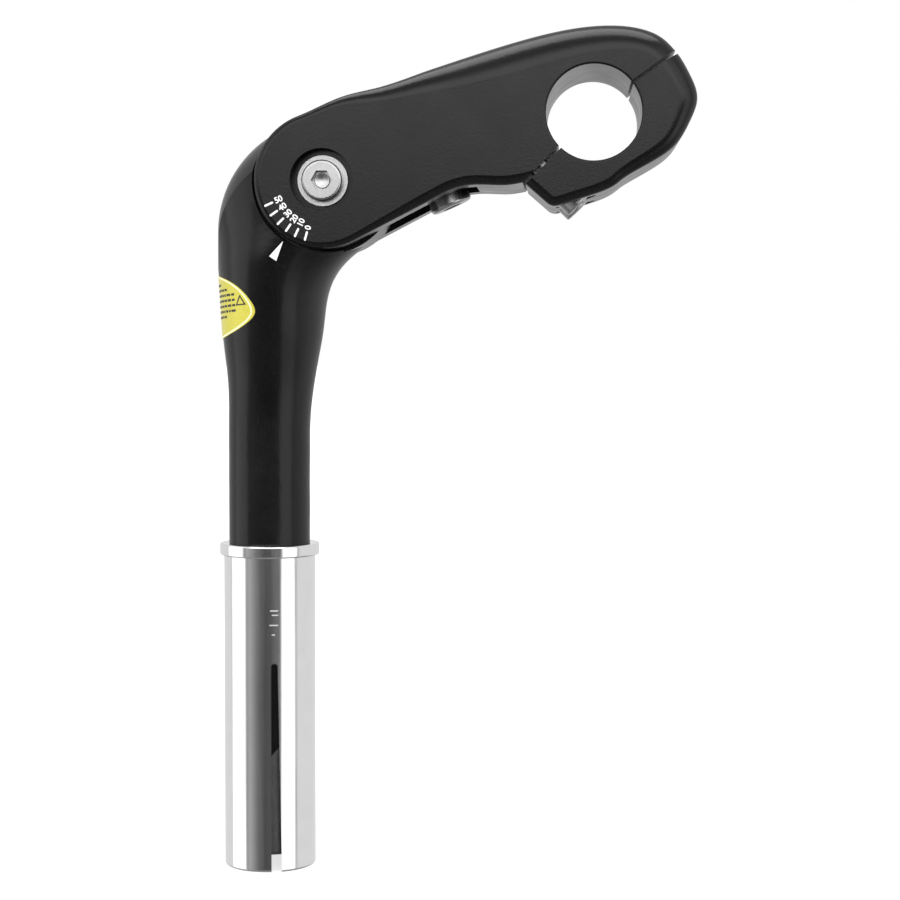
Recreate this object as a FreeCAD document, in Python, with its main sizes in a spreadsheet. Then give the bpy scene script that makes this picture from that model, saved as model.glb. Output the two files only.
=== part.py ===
"""Adjustable-angle quill stem for a bicycle, as a parametric assembly.

Frame: origin on the quill's axis at the underside of the reducing sleeve's flange.
+Z runs up the quill, +X points forward to the handlebar, +Y to the rider's left.
All sizes are in millimetres and degrees.
"""

import FreeCAD, Part
import math
import os

SIZES = {
    # quill tube and reducing sleeve
    "tube_d": 22.2,
    "tube_top_z": 12.0,
    "tube_bore_d": 15.6,
    "tube_end_z": -57.0,
    "tube_end_slope": 51.5,
    "sleeve_d": 25.4,
    "sleeve_bore_d": 22.3,
    "sleeve_len": 87.0,
    "flange_d": 27.7,
    "flange_h": 3.3,
    "slit_top_z": -29.0,
    "slit_width": 1.8,
    "slit_spread": 3.0,
    "slit_turn": 13.0,
    # expander
    "expander_d": 8.0,
    "expander_head_d": 13.0,
    "expander_head_h": 8.0,
    "expander_hex": 6.0,
    "expander_hex_depth": 5.0,
    "expander_hole_d": 13.6,
    "expander_seat_z": 44.0,
    "expander_web": 6.0,
    "expander_washer_h": 1.6,
    "expander_end_z": -81.0,
    "wedge_d": 21.9,
    "wedge_end_z": -82.6,
    "wedge_gap": 0.2,
    # clearances of threads, of moving cylinders and of washers
    "thread_fit": 0.03,
    "running_gap": 0.05,
    "washer_gap": 0.2,
    # pivot
    "pivot_x": 17.0,
    "pivot_z": 102.4,
    "tongue_r": 19.4,
    "tongue_w": 20.0,
    "recess_r": 19.0,
    "bush_d": 12.0,
    "bush_flange_d": 18.0,
    "bush_flange_h": 1.0,
    "bush_len": 8.0,
    "barrel_d": 8.0,
    "pivot_bolt_d": 6.0,
    "pivot_head_d": 10.9,
    "pivot_head_h": 3.2,
    "pivot_hex": 5.0,
    "pivot_hex_depth": 2.6,
    "pivot_washer_d": 13.5,
    "pivot_washer_h": 1.2,
    "counterbore_d": 16.9,
    "counterbore_y": 17.0,
    # head of the quill body
    "crown_r": 31.0,
    "crown_x": 17.2,
    "crown_z": 89.3,
    # arm
    "arm_w": 44.0,
    "slot_w": 22.4,
    "cheek_r": 18.2,
    "slot_r": 20.0,
    "rest_angle": 20.0,
    "clamp_x": 89.4,
    "clamp_z": 120.1,
    "bar_d": 25.4,
    "split_top": 37.8,
    "split_bottom": 225.3,
    "split_gap": 0.9,
    # angle lock
    "lock_angle": 24.0,
    "lock_axis_u": 28.5,
    "lock_seat_t": -14.1,
    "lock_bolt_d": 6.0,
    "lock_head_d": 11.6,
    "lock_head_h": 4.0,
    "lock_hex": 5.0,
    "lock_hex_depth": 2.6,
    "lock_washer_d": 13.0,
    "lock_washer_h": 1.2,
    "shoe_travel": 1.5,
    "wedge_slope": 0.25,
    "tooth_pitch": 10.0,
    "tooth_depth": 1.2,
    # faceplate screws
    "screw_d": 5.0,
    "screw_head_d": 8.5,
    "screw_head_h": 5.0,
    "screw_hex": 4.0,
    "screw_hex_depth": 3.0,
    "screw_radius": 19.5,
    "screw_spacing": 24.0,
    "screw_seat": 8.2,
    "screw_depth": 15.0,
    "screw_washer_d": 9.6,
    "screw_washer_h": 1.0,
    # label
    "label_z": 70.0,
    "label_w": 34.6,
    "label_tall": 17.7,
    "label_t": 0.15,
}

SHEET = "Sizes"
UP = FreeCAD.Vector(0, 0, 1)
NEAR = FreeCAD.Vector(0, -1, 0)
FAR = FreeCAD.Vector(0, 1, 0)
FIT = 0.05
# How far a cutter reaches past the head, how wide it is, and the stock that a later cut removes.
REACH = 60.0
WIDE = "80"
SPARE = 30.0
OVERRUN = 20.0

doc = FreeCAD.newDocument("handlebar_stem")
sheet = doc.addObject("Spreadsheet::Sheet", SHEET)
for row, (alias, value) in enumerate(SIZES.items(), start=1):
    sheet.set(f"A{row}", alias)
    sheet.set(f"B{row}", str(value))
    sheet.setAlias(f"B{row}", alias)
doc.recompute()


def size(alias):
    return float(sheet.get(alias))


def expression(text):
    """Prefix every alias in the text with the sheet's name."""
    words = text.split(" ")
    return " ".join(f"{SHEET}.{word}" if word in SIZES else word for word in words)


def bind(thing, **properties):
    for name, text in properties.items():
        thing.setExpression(name, expression(text))


def vector(x, z, y=0.0):
    return FreeCAD.Vector(x, y, z)


def polar(centre, radius, degrees):
    turn = math.radians(degrees)
    return centre + vector(radius * math.cos(turn), radius * math.sin(turn))


def along(position, direction):
    """A placement at a point whose own Z axis lies along a direction."""
    return FreeCAD.Placement(position, FreeCAD.Rotation(UP, direction))


def moved_up(placement, distance):
    """The placement shifted along its own Z axis."""
    return placement * FreeCAD.Placement(UP * distance, FreeCAD.Rotation())


def cylinder(name, radius, height, placement):
    """A cylinder that runs from the placement's point along its Z axis."""
    thing = doc.addObject("Part::Cylinder", name)
    thing.Placement = placement
    bind(thing, Radius=radius, Height=height)
    return thing


def box(name, low, high, placement=FreeCAD.Placement()):
    """A box between two corners, given in the placement's own frame."""
    thing = doc.addObject("Part::Box", name)
    thing.Length, thing.Width, thing.Height = high - low
    thing.Placement = placement * FreeCAD.Placement(low, FreeCAD.Rotation())
    return thing


def hexagon(name, across_flats, depth, placement):
    thing = doc.addObject("Part::Prism", name)
    thing.Polygon = 6
    thing.Placement = placement
    bind(thing, Circumradius=f"{across_flats} / sqrt( 3 )", Height=depth)
    return thing


def fuse(name, *shapes):
    thing = doc.addObject("Part::MultiFuse", name)
    thing.Shapes = list(shapes)
    return thing


def cut(name, base, *tools):
    thing = doc.addObject("Part::Cut", name)
    thing.Base = base
    thing.Tool = tools[0] if len(tools) == 1 else fuse(name + "_tools", *tools)
    return thing


def common(name, first, second):
    thing = doc.addObject("Part::Common", name)
    thing.Base = first
    thing.Tool = second
    return thing


def round_edges(name, base, radii):
    """Fillet the base's edges: radii holds (test of the edge, start radius, end radius)."""
    doc.recompute()
    chosen = []
    for number, edge in enumerate(base.Shape.Edges, start=1):
        for test, start, end in radii:
            if test(edge):
                chosen.append((number, start, end))
                break
    thing = doc.addObject("Part::Fillet", name)
    thing.Base = base
    thing.Edges = chosen
    return thing


def origin_plane(body, role):
    return next(item for item in body.Origin.OriginFeatures if item.Role == role)


def sketch_on(body, name, role, curves):
    """A sketch on one of the body's origin planes, holding the curves given."""
    sketch = body.newObject("Sketcher::SketchObject", name)
    sketch.AttachmentSupport = (origin_plane(body, role), [""])
    sketch.MapMode = "FlatFace"
    for curve in curves:
        sketch.addGeometry(curve, False)
    return sketch


def flat(point):
    """A point of the side view in sketch coordinates."""
    return FreeCAD.Vector(point.x, point.z, 0)


def line(start, end):
    return Part.LineSegment(flat(start), flat(end))


def arc(centre, radius, first, last):
    """An arc about a centre in the side view, between two directions in degrees."""
    ends = [flat(polar(centre, radius, turn)) for turn in (first, (first + last) / 2, last)]
    return Part.Arc(*ends)


def spline(points, first_slope=None, last_slope=None):
    curve = Part.BSplineCurve()
    flats = [flat(point) for point in points]
    if first_slope is None:
        curve.interpolate(flats)
    else:
        start = flat(polar(FreeCAD.Vector(), 1.0, first_slope))
        end = flat(polar(FreeCAD.Vector(), 1.0, last_slope))
        curve.interpolate(Points=flats, InitialTangent=start, FinalTangent=end)
    return curve


def plate(name, curves, width):
    """A body padded both ways from the side plane, from a closed outline."""
    body = doc.addObject("PartDesign::Body", name)
    sketch = sketch_on(body, name + "_outline", "XZ_Plane", curves)
    pad = body.newObject("PartDesign::Pad", name + "_pad")
    pad.Profile = sketch
    pad.SideType = "Symmetric"
    bind(pad, Length=width)
    doc.recompute()
    return body


def polygon(points):
    return [line(points[i - 1], points[i]) for i in range(len(points))]


PIVOT = vector(size("pivot_x"), size("pivot_z"))
CLAMP = vector(size("clamp_x"), size("clamp_z"))
HALF_ARM = size("arm_w") / 2
HALF_SLOT = size("slot_w") / 2
HALF_TONGUE = size("tongue_w") / 2
LOCK = FreeCAD.Placement(PIVOT, FreeCAD.Rotation(NEAR, size("lock_angle")))


def in_lock(u, t, y=0.0):
    """A point of the angle lock: u outward from the pivot, t up along the lock bolt."""
    return LOCK.multVec(FreeCAD.Vector(u, y, t))


def lock_direction(u, t):
    return LOCK.Rotation.multVec(FreeCAD.Vector(u, 0, t))


# ---------------------------------------------------------------- quill body

# Height, rear edge, front edge and half width of the neck's oval sections.
NECK = [
    (3.5, -11.25, 11.25, 11.25),
    (10.0, -11.25, 11.25, 11.25),
    (17.0, -11.25, 11.25, 11.25),
    (24.0, -11.25, 11.25, 11.25),
    (32.0, -11.25, 11.3, 11.25),
    (40.0, -11.2, 11.6, 11.5),
    (48.0, -11.4, 12.6, 12.5),
    (56.5, -12.3, 14.1, 14.6),
    (65.0, -13.0, 15.4, 16.8),
    (74.0, -13.5, 17.0, 18.8),
    (79.0, -13.9, 19.6, 19.8),
    (83.0, -14.1, 23.4, 20.4),
    (88.0, -14.4, 30.0, 20.9),
    (104.0, -16.0, 36.0, 21.2),
    (122.0, -18.0, 38.0, 21.2),
]
SHOULDER_DROP = 0.5
CHIN_ANGLE = -51.0
UNDERSIDE_SLOPE = 27.5
CROWN_END_ANGLE = 141.0
GROOVE_ROOM_ANGLES = (-41.0, 90.0)
GROOVES = range(-4, 6)
# Shares of the tooth pitch: half a groove's mouth and floor, half a tooth's root and tip.
GROOVE_MOUTH = 0.40
GROOVE_FLOOR = 0.08
TOOTH_ROOT = 0.33
TOOTH_TIP = 0.05
POINTS_ROUND = 24


def neck_shape(name, grow=0.0):
    """The neck as one smooth surface through rounded sections that all start at the same side."""
    wires = []
    for height, rear, front, half in NECK:
        points = []
        for step in range(POINTS_ROUND):
            turn = 2 * math.pi * step / POINTS_ROUND
            x = (rear + front) / 2 + ((front - rear) / 2 + grow) * math.cos(turn)
            y = (half + grow) * math.sin(turn)
            points.append(FreeCAD.Vector(x, y, height))
        curve = Part.BSplineCurve()
        curve.interpolate(Points=points, PeriodicFlag=True)
        wires.append(Part.Wire([curve.toShape()]))
    thing = doc.addObject("Part::Feature", name)
    thing.Shape = Part.makeLoft(wires, True, False)
    return thing


def crown_solid(name):
    """A round-topped post: a sphere's upper half on a cylinder of the same radius."""
    radius = size("crown_r")
    middle = vector(size("crown_x"), size("crown_z"))
    top = middle + UP * radius
    shoulder = middle + vector(radius, 0)
    foot = vector(middle.x + radius, 0)
    axis_foot = vector(middle.x, 0)
    bend = polar(middle, radius, 45)
    outline = Part.Wire([
        Part.Arc(top, bend, shoulder).toShape(),
        Part.makeLine(shoulder, foot),
        Part.makeLine(foot, axis_foot),
        Part.makeLine(axis_foot, top),
    ])
    thing = doc.addObject("Part::Feature", name)
    thing.Shape = Part.Face(outline).revolve(axis_foot, UP, 360)
    return thing


def sector(name, inner, outer, first, last, width):
    """A ring sector about the pivot, between two directions."""
    curves = [
        arc(PIVOT, outer, first, last),
        line(polar(PIVOT, outer, last), polar(PIVOT, inner, last)),
        arc(PIVOT, inner, last, first),
        line(polar(PIVOT, inner, first), polar(PIVOT, outer, first)),
    ]
    return plate(name, curves, width)


def toothed_tongue():
    """The tongue: a disc with locking grooves in its front rim."""
    rim = size("tongue_r")
    root = rim - size("tooth_depth")
    pitch = size("tooth_pitch")
    half_groove = GROOVE_MOUTH * pitch
    half_floor = GROOVE_FLOOR * pitch
    curves = []
    previous = size("lock_angle") + pitch * GROOVES[0] - half_groove
    start = previous
    for step in GROOVES:
        middle = size("lock_angle") + pitch * step
        left = middle - half_groove
        if left > previous:
            curves.append(arc(PIVOT, rim, previous, left))
        corners = [
            polar(PIVOT, rim, left),
            polar(PIVOT, root, middle - half_floor),
            polar(PIVOT, root, middle + half_floor),
            polar(PIVOT, rim, middle + half_groove),
        ]
        curves.extend(line(a, b) for a, b in zip(corners, corners[1:]))
        previous = middle + half_groove
    curves.append(arc(PIVOT, rim, previous, start + 360))
    return plate("tongue", curves, "tongue_w")


def make_quill_body():
    bottom = size("tube_end_z") - SPARE
    seat = size("expander_seat_z")
    tube = cylinder(
        "tube", "tube_d / 2", f"tube_top_z - tube_end_z + {SPARE}", along(vector(0, bottom), UP)
    )
    head = common("head", neck_shape("neck"), crown_solid("crown"))
    clearance = sector("arm_sweep", size("tongue_r"), REACH, CHIN_ANGLE, CROWN_END_ANGLE, WIDE)
    groove_room = sector(
        "groove_room", size("tongue_r") - 2 * size("tooth_depth"), REACH, *GROOVE_ROOM_ANGLES, WIDE
    )
    trimmed = cut("head_trimmed", head, clearance, groove_room)
    whole = fuse("quill_blank", tube, make_cheek_recesses(trimmed), toothed_tongue())
    return cut(
        "quill_body", whole,
        cylinder("head_hole", "expander_hole_d / 2", "90", along(vector(0, seat), UP)),
        cylinder(
            "web_hole", "expander_d / 2 + 0.3", "expander_web + 2",
            along(vector(0, seat - size("expander_web") - 1), UP),
        ),
        cylinder(
            "tube_bore", "tube_bore_d / 2",
            f"expander_seat_z - expander_web - tube_end_z + {SPARE}",
            along(vector(0, bottom), UP),
        ),
        cylinder("pivot_bore", "bush_d / 2", f"{REACH}", along(PIVOT + NEAR * REACH / 2, FAR)),
        oblique_block("below_tube", size("tube_end_z"), -1),
    )


def make_cheek_recesses(head):
    """The head with a round recess and a sloping shelf cut on each side for the arm's cheeks."""
    recesses = []
    shelf_slope = UNDERSIDE_SLOPE - size("rest_angle")
    shelf_start = polar(PIVOT, size("cheek_r") + SHOULDER_DROP, shelf_slope - 90)
    shelf_place = FreeCAD.Placement(shelf_start, FreeCAD.Rotation(NEAR, shelf_slope))
    for side, name in ((NEAR, "near"), (FAR, "far")):
        face = PIVOT + side * HALF_TONGUE
        recesses.append(cylinder(f"{name}_recess", "recess_r", f"{OVERRUN}", along(face, side)))
        low = FreeCAD.Vector(0, HALF_TONGUE if side is FAR else -HALF_TONGUE - OVERRUN, 0)
        high = FreeCAD.Vector(2 * OVERRUN, low.y + OVERRUN, 2 * OVERRUN)
        recesses.append(box(f"{name}_shelf", low, high, shelf_place))
    return cut("head_recessed", head, *recesses)


def oblique_block(name, height, side):
    """A block with one face on the tube's oblique end plane: above it (1) or below it (-1)."""
    turn = FreeCAD.Rotation(NEAR, size("tube_end_slope"))
    place = FreeCAD.Placement(vector(0, height), turn)
    tall = 80.0
    low = FreeCAD.Vector(-REACH, -SPARE, 0 if side > 0 else -tall)
    return box(name, low, FreeCAD.Vector(REACH, SPARE, low.z + tall), place)


# ------------------------------------------------- reducing sleeve and expander

def make_reducing_sleeve():
    length = size("sleeve_len")
    outside = fuse(
        "sleeve_outside",
        cylinder("sleeve_wall", "sleeve_d / 2", "sleeve_len", along(vector(0, -length), UP)),
        cylinder("sleeve_flange", "flange_d / 2", "flange_h", along(vector(0, 0), UP)),
    )
    softened = round_edges("sleeve_softened", outside, [
        (lambda e: is_ring(e, size("flange_d") / 2), 0.5, 0.5),
        (lambda e: is_ring(e, size("sleeve_d") / 2) and e.BoundBox.ZMin < -1, 0.7, 0.7),
    ])
    bore = cylinder(
        "sleeve_bore", "sleeve_bore_d / 2", f"sleeve_len + {OVERRUN}",
        along(vector(0, -length - OVERRUN / 2), UP),
    )
    return cut("reducing_sleeve", softened, bore, slit_tool())


def is_ring(edge, radius):
    curve = edge.Curve
    return isinstance(curve, Part.Circle) and abs(curve.Radius - radius) < 0.01


def is_spline(edge):
    return isinstance(edge.Curve, Part.BSplineCurve)


def slit_tool():
    """The slit's cutter: round at its top, one side upright, a little wider at the foot."""
    half = size("slit_width") / 2
    top = size("slit_top_z") - half
    foot = -size("sleeve_len") - 5
    spread = size("slit_spread") - half
    points = [(-half, top), (-half, foot), (spread, foot), (half, top)]
    edges = [Part.makeLine(vector(*a), vector(*b)) for a, b in zip(points, points[1:])]
    edges.append(Part.Arc(vector(half, top), vector(0, top + half), vector(-half, top)).toShape())
    face = Part.Face(Part.Wire(edges))
    thing = doc.addObject("Part::Feature", "slit")
    thing.Shape = face.extrude(NEAR * OVERRUN)
    thing.Placement = FreeCAD.Placement(FreeCAD.Vector(), FreeCAD.Rotation(UP, size("slit_turn")))
    return thing


def socket_screw(name, shank_d, length, head_d, head_h, hex_af, hex_depth, placement, edge=0.6):
    """A socket-head screw: the placement is under the head, with +Z out of the head."""
    head = cylinder(name + "_head", f"{head_d} / 2", head_h, placement)
    shank = cylinder(name + "_shank", f"{shank_d} / 2", f"{length} + 1", moved_up(placement, -length))
    tip = placement.multVec(UP * size(head_h))
    axis = placement.Rotation.multVec(UP)
    softened = round_edges(name + "_round", head, [
        (lambda e: e.Closed and abs((e.CenterOfMass - tip).dot(axis)) < 0.01, edge, edge),
    ])
    solid = fuse(name + "_solid", softened, shank)
    floor = moved_up(placement, size(head_h) - size(hex_depth))
    return cut(name, solid, hexagon(name + "_socket", hex_af, f"{hex_depth} + 1", floor))


def ring(name, inner, outer, height, placement):
    disc = cylinder(name + "_disc", outer, height, placement)
    hole = cylinder(name + "_hole", inner, f"{height} + 2", moved_up(placement, -1))
    return cut(name, disc, hole)


def make_expander():
    seat = size("expander_seat_z")
    washer_top = seat + size("expander_washer_h")
    washer = ring(
        "expander_washer", "expander_d / 2 + washer_gap", "expander_head_d / 2", "expander_washer_h",
        along(vector(0, seat), UP),
    )
    bolt = socket_screw(
        "expander_bolt", "expander_d", washer_top - size("expander_end_z"), "expander_head_d",
        "expander_head_h", "expander_hex", "expander_hex_depth", along(vector(0, washer_top), UP),
    )
    foot = size("wedge_end_z")
    slug = cylinder("wedge_slug", "wedge_d / 2", "70", along(vector(0, foot), UP))
    slug = round_edges("wedge_slug_round", slug, [
        (lambda e: e.Closed and e.BoundBox.ZMax < foot + 0.1, 1.0, 1.0),
    ])
    above = oblique_block("above_wedge", size("tube_end_z") - size("wedge_gap"), 1)
    thread = cylinder(
        "wedge_thread", "expander_d / 2 + thread_fit", "90", along(vector(0, foot - 5), UP)
    )
    wedge = cut("expander_wedge", slug, above, thread)
    return washer, bolt, wedge


def make_access_plug():
    """The plug that closes the bolt's hole, flush with the crown."""
    hole = cylinder(
        "plug_stock", "expander_hole_d / 2 - running_gap", "40", along(vector(0, 100.0), UP)
    )
    dome = doc.addObject("Part::Sphere", "plug_dome")
    dome.Placement.Base = vector(size("crown_x"), size("crown_z"))
    bind(dome, Radius="crown_r")
    flush = common("plug_flush", hole, dome)
    outside = sector("plug_trim", size("tongue_r"), REACH, 60.0, CROWN_END_ANGLE, WIDE)
    return cut("access_plug", flush, outside)


# --------------------------------------------------------------------- pivot

def make_bush(name, side):
    """A flanged bush: its flange faces the cheek and its tube sits in the tongue."""
    face = PIVOT + side * HALF_TONGUE
    flange = cylinder(name + "_flange", "bush_flange_d / 2", "bush_flange_h", along(face, side))
    tube = cylinder(name + "_tube", "bush_d / 2 - 0.02", "bush_len", along(face, side * -1))
    solid = fuse(name + "_solid", flange, tube)
    hole = cylinder(
        name + "_hole", "barrel_d / 2 + running_gap", f"{2 * OVERRUN}",
        along(PIVOT + side * OVERRUN, side * -1),
    )
    return cut(name, solid, hole)


def make_pivot():
    floor = size("counterbore_y")
    seat = floor + size("pivot_washer_h")
    near_washer = ring(
        "pivot_washer", "pivot_bolt_d / 2 + washer_gap", "pivot_washer_d / 2", "pivot_washer_h",
        along(PIVOT + NEAR * floor, NEAR),
    )
    far_washer = ring(
        "pivot_nut_washer", "barrel_d / 2 + 0.1", "pivot_washer_d / 2", "pivot_washer_h",
        along(PIVOT + FAR * floor, FAR),
    )
    bolt = socket_screw(
        "pivot_bolt", "pivot_bolt_d", 16.0, "pivot_head_d", "pivot_head_h", "pivot_hex",
        "pivot_hex_depth", along(PIVOT + NEAR * seat, NEAR), edge=0.7,
    )
    nut_blank = socket_screw(
        "pivot_nut_blank", "barrel_d", seat + floor - 0.2, "pivot_head_d", "pivot_head_h",
        "pivot_hex", "pivot_hex_depth", along(PIVOT + FAR * seat, FAR), edge=0.7,
    )
    thread = cylinder(
        "pivot_nut_thread", "pivot_bolt_d / 2 + thread_fit", f"{OVERRUN} + 8",
        along(PIVOT + NEAR * OVERRUN, FAR),
    )
    nut = cut("pivot_nut", nut_blank, thread)
    bushes = make_bush("near_bush", NEAR), make_bush("far_bush", FAR)
    return near_washer, far_washer, bolt, nut, *bushes


# ----------------------------------------------------------------------- arm

DISC_LEAVES = 111.0
ARM_TOP = [(22.9, 124.8), (32.5, 127.3), (45.3, 131.9), (61.3, 137.3), (77.3, 141.7),
           (93.5, 143.6), (103.1, 142.2), (108.5, 139.2), (110.9, 136.7)]
ARM_BELOW = [(46.0, 97.0), (51.5, 99.8), (57.0, 101.1), (64.0, 101.0), (70.6, 101.7)]
FACEPLATE = [(111.6, 135.8), (114.6, 130.8), (116.8, 124.2), (115.0, 118.2), (111.0, 111.6),
             (106.6, 108.2), (97.4, 102.8), (88.6, 98.3)]
LUG = [(78.4, 95.1), (71.4, 101.2)]
WEB_END_ANGLE = 80.0
TOP_KNEE = 3
KNEE_SLOPE = 19.5
TOP_END_SLOPE = -46.0
BELOW_END_SLOPE = 12.0
NOSE_SLOPE = -52.0
# Boxes of the side view that pick the arm's and the faceplate's long edges for rounding.
TOP_BOX = (vector(46, 138), vector(120, 160))
REAR_UNDER_BOX = (vector(20, 80), vector(46, 99))
FRONT_UNDER_BOX = (vector(46, 99), vector(70.5, 103))
LUG_BOX = (vector(70, 90), vector(92, 99.5))
CHEEK_ROUND = 1.6
TOP_ROUND = 7.0
SPLIT_ROUND = 5.5
UNDER_ROUND = 2.4
LUG_ROUND = 2.4
LUG_CORNER = 3.2
BORE_ROUND = 0.5
HALF_LOCK_ROOM = 10.0
WEDGE_FACE = 23.8
WEDGE_BACK = 33.0
WEDGE_TALL = 10.0
# Spans of the lock's rooms in the arm, outward from the pivot and along the lock bolt.
CHANNEL_SPAN = (5.0, 37.0)
SHOE_ROOM = ((15.0, 27.0), (-9.0, 9.0))
WEDGE_ROOM = ((20.5, WEDGE_BACK + FIT), (-9.0, 11.5))
TOOTH_GAP = 0.15
SHANK_GAP = 0.4
BLOCK_WIDTH = f"{2 * HALF_LOCK_ROOM - 0.4}"
SHOE_HALF_LENGTH = 8.6
SHOE_SIDE_TEETH = 2


def split_lines(turn, side):
    """Unit vectors along a split and across it, towards the named side of the clamp."""
    outward = polar(FreeCAD.Vector(), 1.0, turn)
    across = polar(FreeCAD.Vector(), 1.0, turn + 90 * side)
    return outward, across


def clamp_corner(turn, side, radius):
    """Where a split's face on one side meets a circle about the bar."""
    outward, across = split_lines(turn, side)
    offset = size("split_gap") / 2
    return CLAMP + outward * math.sqrt(radius ** 2 - offset ** 2) + across * offset


def direction_of(point, centre):
    return math.degrees(math.atan2(point.z - centre.z, point.x - centre.x))


def in_side_face(edge):
    """True for an edge that lies in one of the two flat sides of a blank of the arm's width."""
    bounds = edge.BoundBox
    return bounds.YLength < 0.01 and abs(abs(bounds.YMin) - HALF_ARM) < 0.01


def side_edge_between(low, high):
    """A test for edges of the flat sides whose middle lies between two corners of the side view."""
    def test(edge):
        first, last = edge.ParameterRange
        middle = edge.valueAt((first + last) / 2)
        inside = low.x < middle.x < high.x and low.z < middle.z < high.z
        return in_side_face(edge) and inside
    return test


def bore_edge(edge):
    return in_side_face(edge) and is_ring(edge, size("bar_d") / 2)


def lock_box(name, u_span, t_span, half_width):
    low = FreeCAD.Vector(u_span[0], -half_width, t_span[0])
    high = FreeCAD.Vector(u_span[1], half_width, t_span[1])
    return box(name, low, high, LOCK)


def screw_places():
    """Where each faceplate screw crosses the split, pointing out of the screw's head."""
    outward, across = split_lines(size("split_bottom"), 1)
    middle = CLAMP + outward * size("screw_radius")
    step = FreeCAD.Vector(0, size("screw_spacing") / 2, 0)
    return [along(middle + step * side, across) for side in (-1, 1)]


def make_arm():
    bore = size("bar_d") / 2
    top_in = clamp_corner(size("split_top"), 1, bore)
    bottom_in = clamp_corner(size("split_bottom"), -1, bore)
    leave_top = polar(PIVOT, size("cheek_r"), DISC_LEAVES)
    leave_bottom = polar(PIVOT, size("cheek_r"), UNDERSIDE_SLOPE - 90)
    top = [vector(*point) for point in ARM_TOP]
    below = [vector(*point) for point in ARM_BELOW]
    curves = [
        arc(PIVOT, size("cheek_r"), DISC_LEAVES, UNDERSIDE_SLOPE - 90 + 360),
        line(leave_bottom, below[0]),
        spline(below, UNDERSIDE_SLOPE, BELOW_END_SLOPE),
        line(below[-1], bottom_in),
        arc(CLAMP, bore, direction_of(bottom_in, CLAMP) + 360, direction_of(top_in, CLAMP)),
        line(top_in, top[-1]),
        spline([leave_top] + top[:TOP_KNEE], DISC_LEAVES - 90, KNEE_SLOPE),
        spline(top[TOP_KNEE - 1:], KNEE_SLOPE, TOP_END_SLOPE),
    ]
    blank = plate("arm_blank", curves, "arm_w")
    knee = top[TOP_KNEE - 1]
    rounded = round_edges("arm_rounded", blank, [
        (lambda e: in_side_face(e) and is_ring(e, size("cheek_r")), CHEEK_ROUND, CHEEK_ROUND),
        (side_edge_between(leave_top, knee + vector(0, 9)), TOP_ROUND, CHEEK_ROUND),
        (side_edge_between(*TOP_BOX), SPLIT_ROUND, TOP_ROUND),
        (side_edge_between(*REAR_UNDER_BOX), CHEEK_ROUND, UNDER_ROUND),
        (side_edge_between(*FRONT_UNDER_BOX), UNDER_ROUND, UNDER_ROUND),
        (bore_edge, BORE_ROUND, BORE_ROUND),
    ])
    tools = [
        cylinder("tongue_slot", "slot_r", "slot_w", along(PIVOT + NEAR * HALF_SLOT, FAR)),
        sector("rear_slot", 1.0, REACH, WEB_END_ANGLE, 300.0, "slot_w"),
        lock_box("channel", CHANNEL_SPAN, (-REACH, size("lock_seat_t")), HALF_SLOT),
        lock_box("shoe_room", *SHOE_ROOM, HALF_LOCK_ROOM),
        lock_box("wedge_room", *WEDGE_ROOM, HALF_LOCK_ROOM),
        cylinder(
            "lock_hole", "lock_bolt_d / 2 + 0.3", "14",
            along(in_lock(size("lock_axis_u"), -20.0), lock_direction(0, 1)),
        ),
        cylinder(
            "pivot_hole", "barrel_d / 2 + running_gap", f"{REACH}",
            along(PIVOT + NEAR * REACH / 2, FAR),
        ),
    ]
    for name, side in (("near", NEAR), ("far", FAR)):
        tools.append(cylinder(
            f"{name}_counterbore", "counterbore_d / 2", f"{OVERRUN}",
            along(PIVOT + side * size("counterbore_y"), side),
        ))
    for number, place in enumerate(screw_places()):
        tools.append(cylinder(
            f"screw_thread_{number}", "screw_d / 2 + thread_fit", "screw_depth + 2",
            moved_up(place, -size("screw_depth") - 1.5),
        ))
    return cut("arm", rounded, *tools)


def make_faceplate():
    bore = size("bar_d") / 2
    top_in = clamp_corner(size("split_top"), -1, bore)
    bottom_in = clamp_corner(size("split_bottom"), 1, bore)
    nose = [vector(*point) for point in FACEPLATE]
    corner, foot = (vector(*point) for point in LUG)
    down = (corner - nose[-1]).normalize()
    back = (foot - corner).normalize()
    turn = math.acos(down.dot(back))
    reach = LUG_CORNER * math.tan(turn / 2)
    before = corner - down * reach
    after = corner + back * reach
    middle = corner + (back - down).normalize() * LUG_CORNER * (1 / math.cos(turn / 2) - 1)
    curves = [
        arc(CLAMP, bore, direction_of(bottom_in, CLAMP), direction_of(top_in, CLAMP)),
        line(top_in, nose[0]),
        spline(nose, NOSE_SLOPE, 180 + direction_of(nose[-1], corner)),
        line(nose[-1], before),
        Part.Arc(flat(before), flat(middle), flat(after)),
        line(after, foot),
        line(foot, bottom_in),
    ]
    blank = plate("faceplate_blank", curves, "arm_w")
    rounded = round_edges("faceplate_rounded", blank, [
        (bore_edge, BORE_ROUND, BORE_ROUND),
        (lambda e: in_side_face(e) and is_spline(e), SPLIT_ROUND, LUG_ROUND),
        (side_edge_between(*LUG_BOX), LUG_ROUND, LUG_ROUND),
    ])
    tools = []
    for number, place in enumerate(screw_places()):
        tools.append(cylinder(
            f"screw_clearance_{number}", "screw_d / 2 + 0.25", "30", moved_up(place, -2)
        ))
        tools.append(cylinder(
            f"screw_spotface_{number}", "screw_washer_d / 2 + 0.3", f"{OVERRUN}",
            moved_up(place, size("screw_seat")),
        ))
    return cut("faceplate", rounded, *tools)


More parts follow.
